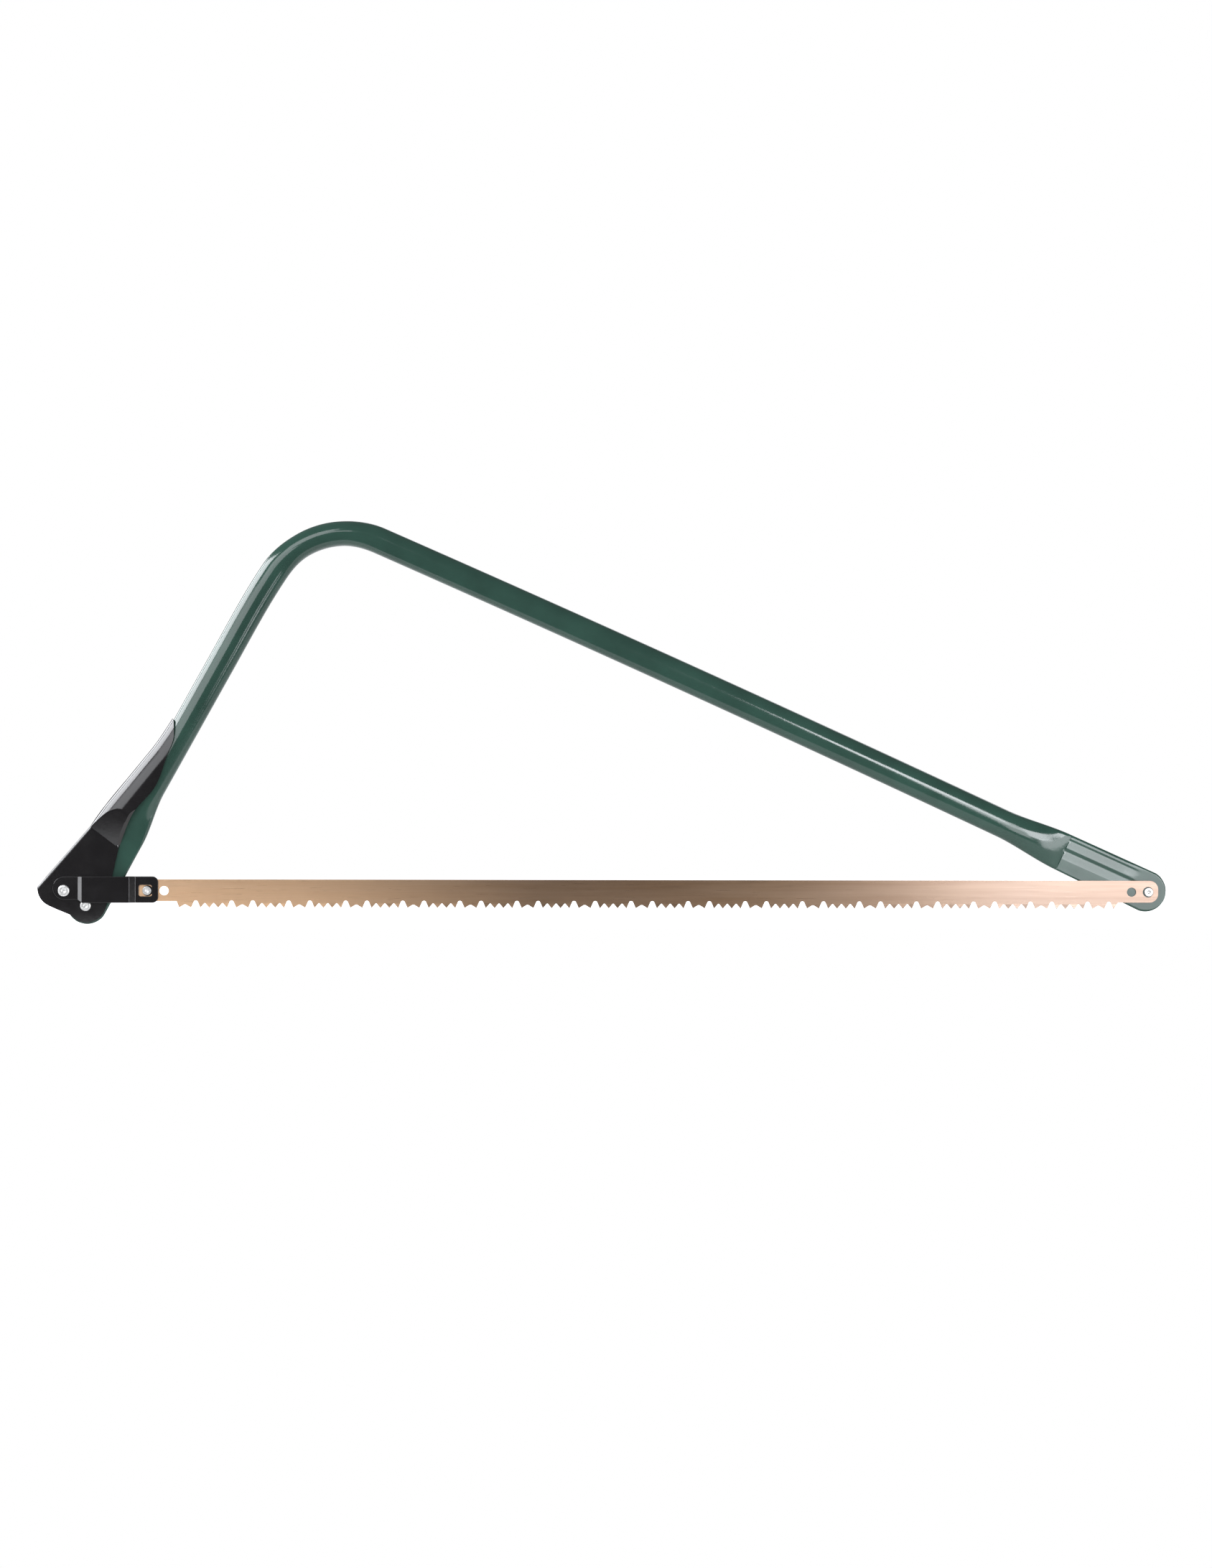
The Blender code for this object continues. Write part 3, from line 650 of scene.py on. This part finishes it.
def curve_through(path, t):
    """The place at a share t of a Catmull-Rom curve through a path's points."""
    points = [Vector(p) for p in (path[0], *path, path[-1])]
    t *= len(path) - 1
    i = min(int(t), len(path) - 2)
    f = t - i
    a, b, c, d = points[i:i + 4]
    made = b * 2 + (c - a) * f + (a * 2 - b * 5 + c * 4 - d) * f ** 2 + (b * 3 - a - c * 3 + d) * f ** 3
    return tuple(made / 2)


def cheek_bottom():
    """The cheek's lower edge, from the heel corner to the end of the round lobe."""
    return CHEEK_CORNERS + arc(CHEEK_LOBE_CENTRE, CHEEK_LOBE, 220, 364, 12)


def lever_rows(inset):
    """Each row of the lever's near side, from the spine to the free edge, with the spine moved in by an inset."""
    across, crowding = 64, 1.6       # the points of a row crowd towards the spine
    shares = [(i / across) ** crowding for i in range(across + 1)]
    grip_rows, cheek_rows = 110, 56

    def moved_in(spine, free):
        gap = (Vector(free) - Vector(spine)).length
        return between(spine, free, min(inset / max(gap, inset), 0.45))

    rows = []
    for i in range(grip_rows):
        spine, free = curve_through(SPINE, i / grip_rows), curve_through(FREE_EDGE, i / grip_rows)
        rows.append([between(moved_in(spine, free), free, s) for s in shares])
    fold = [between(moved_in(FOLD_START, FOLD_END), FOLD_END, s) for s in shares]
    bottom = cheek_bottom()
    start = inset / 40
    low = [curve_through(bottom, start + (1 - start) * s ** 0.9) for s in shares]
    for i in range(cheek_rows + 1):
        rows.append([between(a, b, i / cheek_rows) for a, b in zip(fold, low)])
    return rows


def lever_ring(row, inset):
    """The two sides of the lever at a row, from the near free edge over the spine to the far one."""
    near = [(x, -lever_depth(x, z, inset), z) for x, z in row]
    return near[::-1] + [(x, -y, z) for x, y, z in near[1:]]


def tension_lever(finish):
    outer = [lever_ring(row, 0) for row in lever_rows(0)]
    inner = [lever_ring(row, SHEET) for row in lever_rows(SHEET)]
    rings = [out + back[::-1] for out, back in zip(outer, inner)]
    points, faces = loft(rings, closed_ends=False)
    count = len(rings[0])
    for base in (0, len(points) - count):
        last = base + count - 1
        faces += [(base + k, base + k + 1, last - k - 1, last - k) for k in range(count // 2 - 1)]
    lever = mesh_object("tension_lever_finish", points, faces)
    for centre in (PIVOT, LINK_RIVET):
        cut(lever, circle(centre, RIVET_RADIUS + HOLE_GAP))
    lever.data.set_sharp_from_angle(angle=math.radians(28))
    finished(lever, finish, "lever", "black_paint", "tension_lever")


# ---- link ---------------------------------------------------------------------------------------------------
def link_outline():
    waist = LINK_LOWER + LINK_WAIST
    left_radius = (LINK_UPPER - waist) / 2
    outline = arc((LINK_LEFT + left_radius, waist + left_radius), left_radius, 90, 270, 40)
    outline += [(STEP_OUT[0], waist), (STEP_OUT[1], LINK_LOWER)]
    right = LINK_RIGHT - LINK_CORNER
    outline += arc((right, LINK_LOWER + LINK_CORNER), LINK_CORNER, -90, 0, 14)
    outline += arc((right, LINK_UPPER - LINK_CORNER), LINK_CORNER, 0, 90, 14)
    return outline


def window_outline():
    left, right = WINDOW[0] + WINDOW_CORNER, WINDOW[1] - WINDOW_CORNER
    lower, upper = WINDOW[2] + WINDOW_CORNER, WINDOW[3] - WINDOW_CORNER
    outline = []
    for centre, turn in (((right, lower), -90), ((right, upper), 0), ((left, upper), 90), ((left, lower), 180)):
        outline += arc(centre, WINDOW_CORNER, turn, turn + 90, 8)
    return outline


def ramp(t, rounding=0.1):
    """0 to 1 in a straight line, with its two corners rounded."""
    t = min(max(t, -rounding), 1 + rounding)
    if t < rounding:
        return (t + rounding) ** 2 / (4 * rounding)
    if t > 1 - rounding:
        return 1 - (1 + rounding - t) ** 2 / (4 * rounding)
    return t


def link_profile(x):
    """Depth of a link plate's inner face along the link, with the bends of its joggles rounded."""
    out = ramp((x - STEP_OUT[0]) / (STEP_OUT[1] - STEP_OUT[0]))
    back = ramp((x - STEP_IN[0]) / (STEP_IN[1] - STEP_IN[0]))
    return LINK_BASE + (LINK_PROUD - LINK_BASE) * out - (LINK_PROUD - LINK_IN) * back


def link_plate(name, side, finish):
    """A bent blank, a little larger than the plate, cut to the plate's outline and holes."""
    spare = 4
    start, end = LINK_LEFT - spare, LINK_RIGHT + spare
    low_edge, high_edge = LINK_LOWER - spare, LINK_UPPER + spare
    xs = [start, STEP_OUT[0] - 0.5]
    for low, high in (STEP_OUT, STEP_IN):
        xs += [lerp(low, high, t) for t in (-0.1, -0.05, 0, 0.05, 0.1, 0.9, 0.95, 1, 1.05, 1.1)] + [high + 0.8]
    xs.append(end)
    rings = []
    for x in xs:
        inner, outer = link_profile(x), link_profile(x) + LINK_SHEET
        corners = ((inner, low_edge), (outer, low_edge), (outer, high_edge), (inner, high_edge))
        rings.append([(x, side * y, z) for y, z in corners])
    plate = mesh_object(name + "_finish", *loft(rings))
    cut(plate, link_outline(), operation="INTERSECT")
    cut(plate, circle(LINK_RIVET, RIVET_RADIUS + HOLE_GAP, 40))
    if side < 0:
        cut(plate, window_outline())
    else:
        cut(plate, circle(BLADE_PIN, RIVET_RADIUS + HOLE_GAP, 40))
    soften(plate, 0.3)
    finished(plate, finish, "link", "black_paint", name)


# ---- rivets and pins ----------------------------------------------------------------------------------------
def turned(name, profile, centre, finish, body):
    """A round piece on a pin's axis from its profile of (radius, depth), which starts and ends on the axis."""
    count = 64
    turns = [2 * math.pi * i / count for i in range(count)]
    rings = []
    for radius, depth in profile:
        radius = max(radius, 0.001)
        rings.append([(centre[0] + radius * math.cos(a), depth, centre[1] + radius * math.sin(a)) for a in turns])
    made = mesh_object(name + "_finish", *loft(rings), sharp=40)
    finished(made, finish, body, "bright_steel", name)


def head(radius, height, face, outwards):
    """Profile of a flat-topped head with a peened dimple and a round shoulder, from its middle to the shank."""
    dimple, shoulder = 0.34 * radius, 0.62 * radius
    steps = [(0, 0.66), (dimple * 0.5, 0.68), (dimple * 0.85, 0.76), (dimple, 0.9), (dimple * 1.15, 0.97)]
    for i in range(9):
        turn = math.pi / 2 * i / 8
        steps.append((shoulder + (radius - shoulder) * math.sin(turn), 0.25 + 0.75 * math.cos(turn)))
    steps.append((radius * 0.995, 0.0))
    return [(r, face + outwards * height * h) for r, h in steps]


def rivet(name, centre, reach, size, finish, body):
    profile = head(*size, -reach, -1) + [(RIVET_RADIUS, -reach), (RIVET_RADIUS, reach)]
    turned(name, profile + head(*size, reach, 1)[::-1], centre, finish, body)


def stud(name, centre, tip, shoulder, back, finish, body):
    """A pin whose tip stands towards the near side, riveted over at the back of its plate."""
    dimple, chamfer = STUD_DIMPLE, STUD_CHAMFER
    profile = [(0, tip + chamfer), (dimple * 0.6, tip + 0.8 * chamfer), (dimple, tip + 0.1), (dimple + 0.2, tip)]
    for i in range(7):
        turn = math.pi / 2 * i / 6
        profile.append((PIN_RADIUS - chamfer * (1 - math.sin(turn)), tip + chamfer * (1 - math.cos(turn))))
    profile += [(PIN_RADIUS, shoulder), (RIVET_RADIUS, shoulder), (RIVET_RADIUS, back)]
    turned(name, profile + head(*STUD_HEAD, back, 1)[::-1], centre, finish, body)


# ---- stage --------------------------------------------------------------------------------------------------
def floor():
    """A pale floor that reaches a little in front of the saw and far behind it. It glows white to the camera and
    only weakly to the saw."""
    front, reach = -150, 2500
    corners = [(-reach, front, 0), (reach, front, 0), (reach, reach, 0), (-reach, reach, 0)]
    sheet = mesh_object("floor", corners, [(0, 1, 2, 3)])
    made, tree, shader, where = new_material("floor", (0.86, 0.86, 0.86), 0.7, 0.0)
    tone = mixed(tree, noise(tree, where, 3, 2), (0.84, 0.84, 0.84), (0.88, 0.88, 0.88))
    tree.links.new(tone, shader.inputs["Base Color"])
    shader.inputs["Emission Color"].default_value = (1, 1, 1, 1)
    seen = tree.nodes.new("ShaderNodeLightPath").outputs["Is Camera Ray"]
    tree.links.new(spread(tree, seen, 0.3, 0.9, 0, 1), shader.inputs["Emission Strength"])
    sheet.data.materials.append(made)


def world():
    """White to the camera, a dim even room to the saw."""
    made = bpy.data.worlds.new("room")
    made.use_nodes = True
    tree = made.node_tree
    tree.nodes.clear()
    out = tree.nodes.new("ShaderNodeOutputWorld")
    mix = tree.nodes.new("ShaderNodeMixShader")
    room, white = tree.nodes.new("ShaderNodeBackground"), tree.nodes.new("ShaderNodeBackground")
    room.inputs["Color"].default_value = (0.22, 0.22, 0.23, 1)
    white.inputs["Color"].default_value = (1, 1, 1, 1)
    tree.links.new(tree.nodes.new("ShaderNodeLightPath").outputs["Is Camera Ray"], mix.inputs["Fac"])
    tree.links.new(room.outputs["Background"], mix.inputs[1])
    tree.links.new(white.outputs["Background"], mix.inputs[2])
    tree.links.new(mix.outputs["Shader"], out.inputs["Surface"])
    SCENE.world = made


def soft_light(name, at, towards, size, brightness, roll=0.0):
    """A rectangular soft box, in metres; its brightness is the radiance of its face, and its roll turns it in its
    own plane, in degrees."""
    data = bpy.data.lights.new(name, "AREA")
    data.shape = "RECTANGLE"
    data.color = (0.95, 0.965, 1.0)
    data.size, data.size_y = size
    data.energy = brightness * 4 * size[0] * size[1]
    light = bpy.data.objects.new(name, data)
    light.location = at
    light.rotation_mode = "QUATERNION"
    aim = (Vector(towards) - Vector(at)).to_track_quat("-Z", "Y")
    light.rotation_quaternion = aim @ Quaternion((0, 0, 1), math.radians(roll))
    SCENE.collection.objects.link(light)


def lights():
    """Two windows at the far left, four soft boxes in front of the saw's left half and bend, five in front of its
    nose, a fill low at the right and a weak one behind."""
    soft_light("window", (-1.75, -0.15, 1.0), (-0.35, 0, 0.15), (1.3, 0.8), 10.0)
    soft_light("back_window", (-1.75, 1.15, 1.0), (-0.35, 0, 0.12), (0.7, 0.7), 8.0)
    soft_light("left_panel", (-1.15, -1.0, 0.61), (-1.15, 0, 0.61), (1.5, 0.38), 3.0, -27)
    soft_light("left_core", (-2.0, -0.84, 0.02), (-0.38, 0, 0.02), (0.6, 0.35), 6.0)
    soft_light("left_bank", (-0.72, -1.0, 0.95), (-0.72, 0, 0.95), (0.8, 0.75), 3.6)
    soft_light("bank_end", (-0.20, -1.0, 0.72), (-0.20, 0, 0.72), (0.24, 0.22), 2.4)
    soft_light("right_low", (0.49, -1.0, -0.05), (0.49, 0, -0.05), (0.34, 0.3), 3.8)
    soft_light("right_middle", (0.49, -1.0, 0.175), (0.49, 0, 0.175), (0.34, 0.15), 7.0)
    soft_light("right_top", (0.385, -1.0, 0.35), (0.385, 0, 0.35), (0.23, 0.2), 13.0)
    soft_light("right_join", (0.58, -1.0, 0.35), (0.58, 0, 0.35), (0.16, 0.2), 6.5)
    soft_light("right_side", (0.86, -1.0, 0.14), (0.86, 0, 0.14), (0.4, 0.42), 10.0)
    soft_light("right_fill", (1.25, -1.0, -0.3), (0.35, 0, 0.06), (0.8, 0.5), 5.0)
    soft_light("back_fill", (0.6, 1.8, 1.2), (0, 0, 0.1), (1.6, 0.8), 1.2)


def camera():
    """A long lens square on to the saw, at the height that the saw was seen from."""
    distance, seen_height = 5.0, 1.1898
    data = bpy.data.cameras.new("camera")
    data.sensor_width = 36
    data.lens = data.sensor_width * distance / seen_height
    data.clip_end = 50
    made = bpy.data.objects.new("camera", data)
    made.location = (0.0033, -distance, 0.1062)
    made.rotation_euler = (math.pi / 2, 0, 0)
    SCENE.collection.objects.link(made)
    SCENE.camera = made


def build():
    green = paint("green_enamel", (0.0175, 0.047, 0.035), 0.12)
    black = paint("black_enamel", (0.004, 0.0035, 0.0038), 0.15)
    frame_tube(green)
    blade(tempered_steel())
    tension_lever(black)
    link_plate("link_near_plate", -1, black)
    link_plate("link_far_plate", 1, black)
    steel = bright_steel("zinc_steel")
    rivet("lever_pivot_rivet", PIVOT, CHEEK_HALF + 0.1, PIVOT_HEAD, steel, "lever")
    rivet("link_rivet", LINK_RIVET, LINK_BASE + LINK_SHEET + 0.1, LINK_RIVET_HEAD, steel, "link")
    link_face = LINK_IN + LINK_SHEET
    stud("blade_pin", BLADE_PIN, -link_face - 0.3, LINK_IN - 0.3, link_face + 0.1, steel, "link")
    nose_near, nose_far = NOSE_PLATE_DEPTH - PLATE_HALF_DEPTH, NOSE_PLATE_DEPTH + PLATE_HALF_DEPTH
    stud("nose_stud", NOSE_STUD, -2.4, nose_near - 0.3, nose_far + 0.1, steel, "frame")
    spacer = frame["nodes"]["link_rivet_spacer"]
    spacer.data.materials.clear()
    spacer.data.materials.append(steel)
    floor()
    world()
    lights()
    camera()
    SCENE.view_settings.view_transform = "Standard"


build()
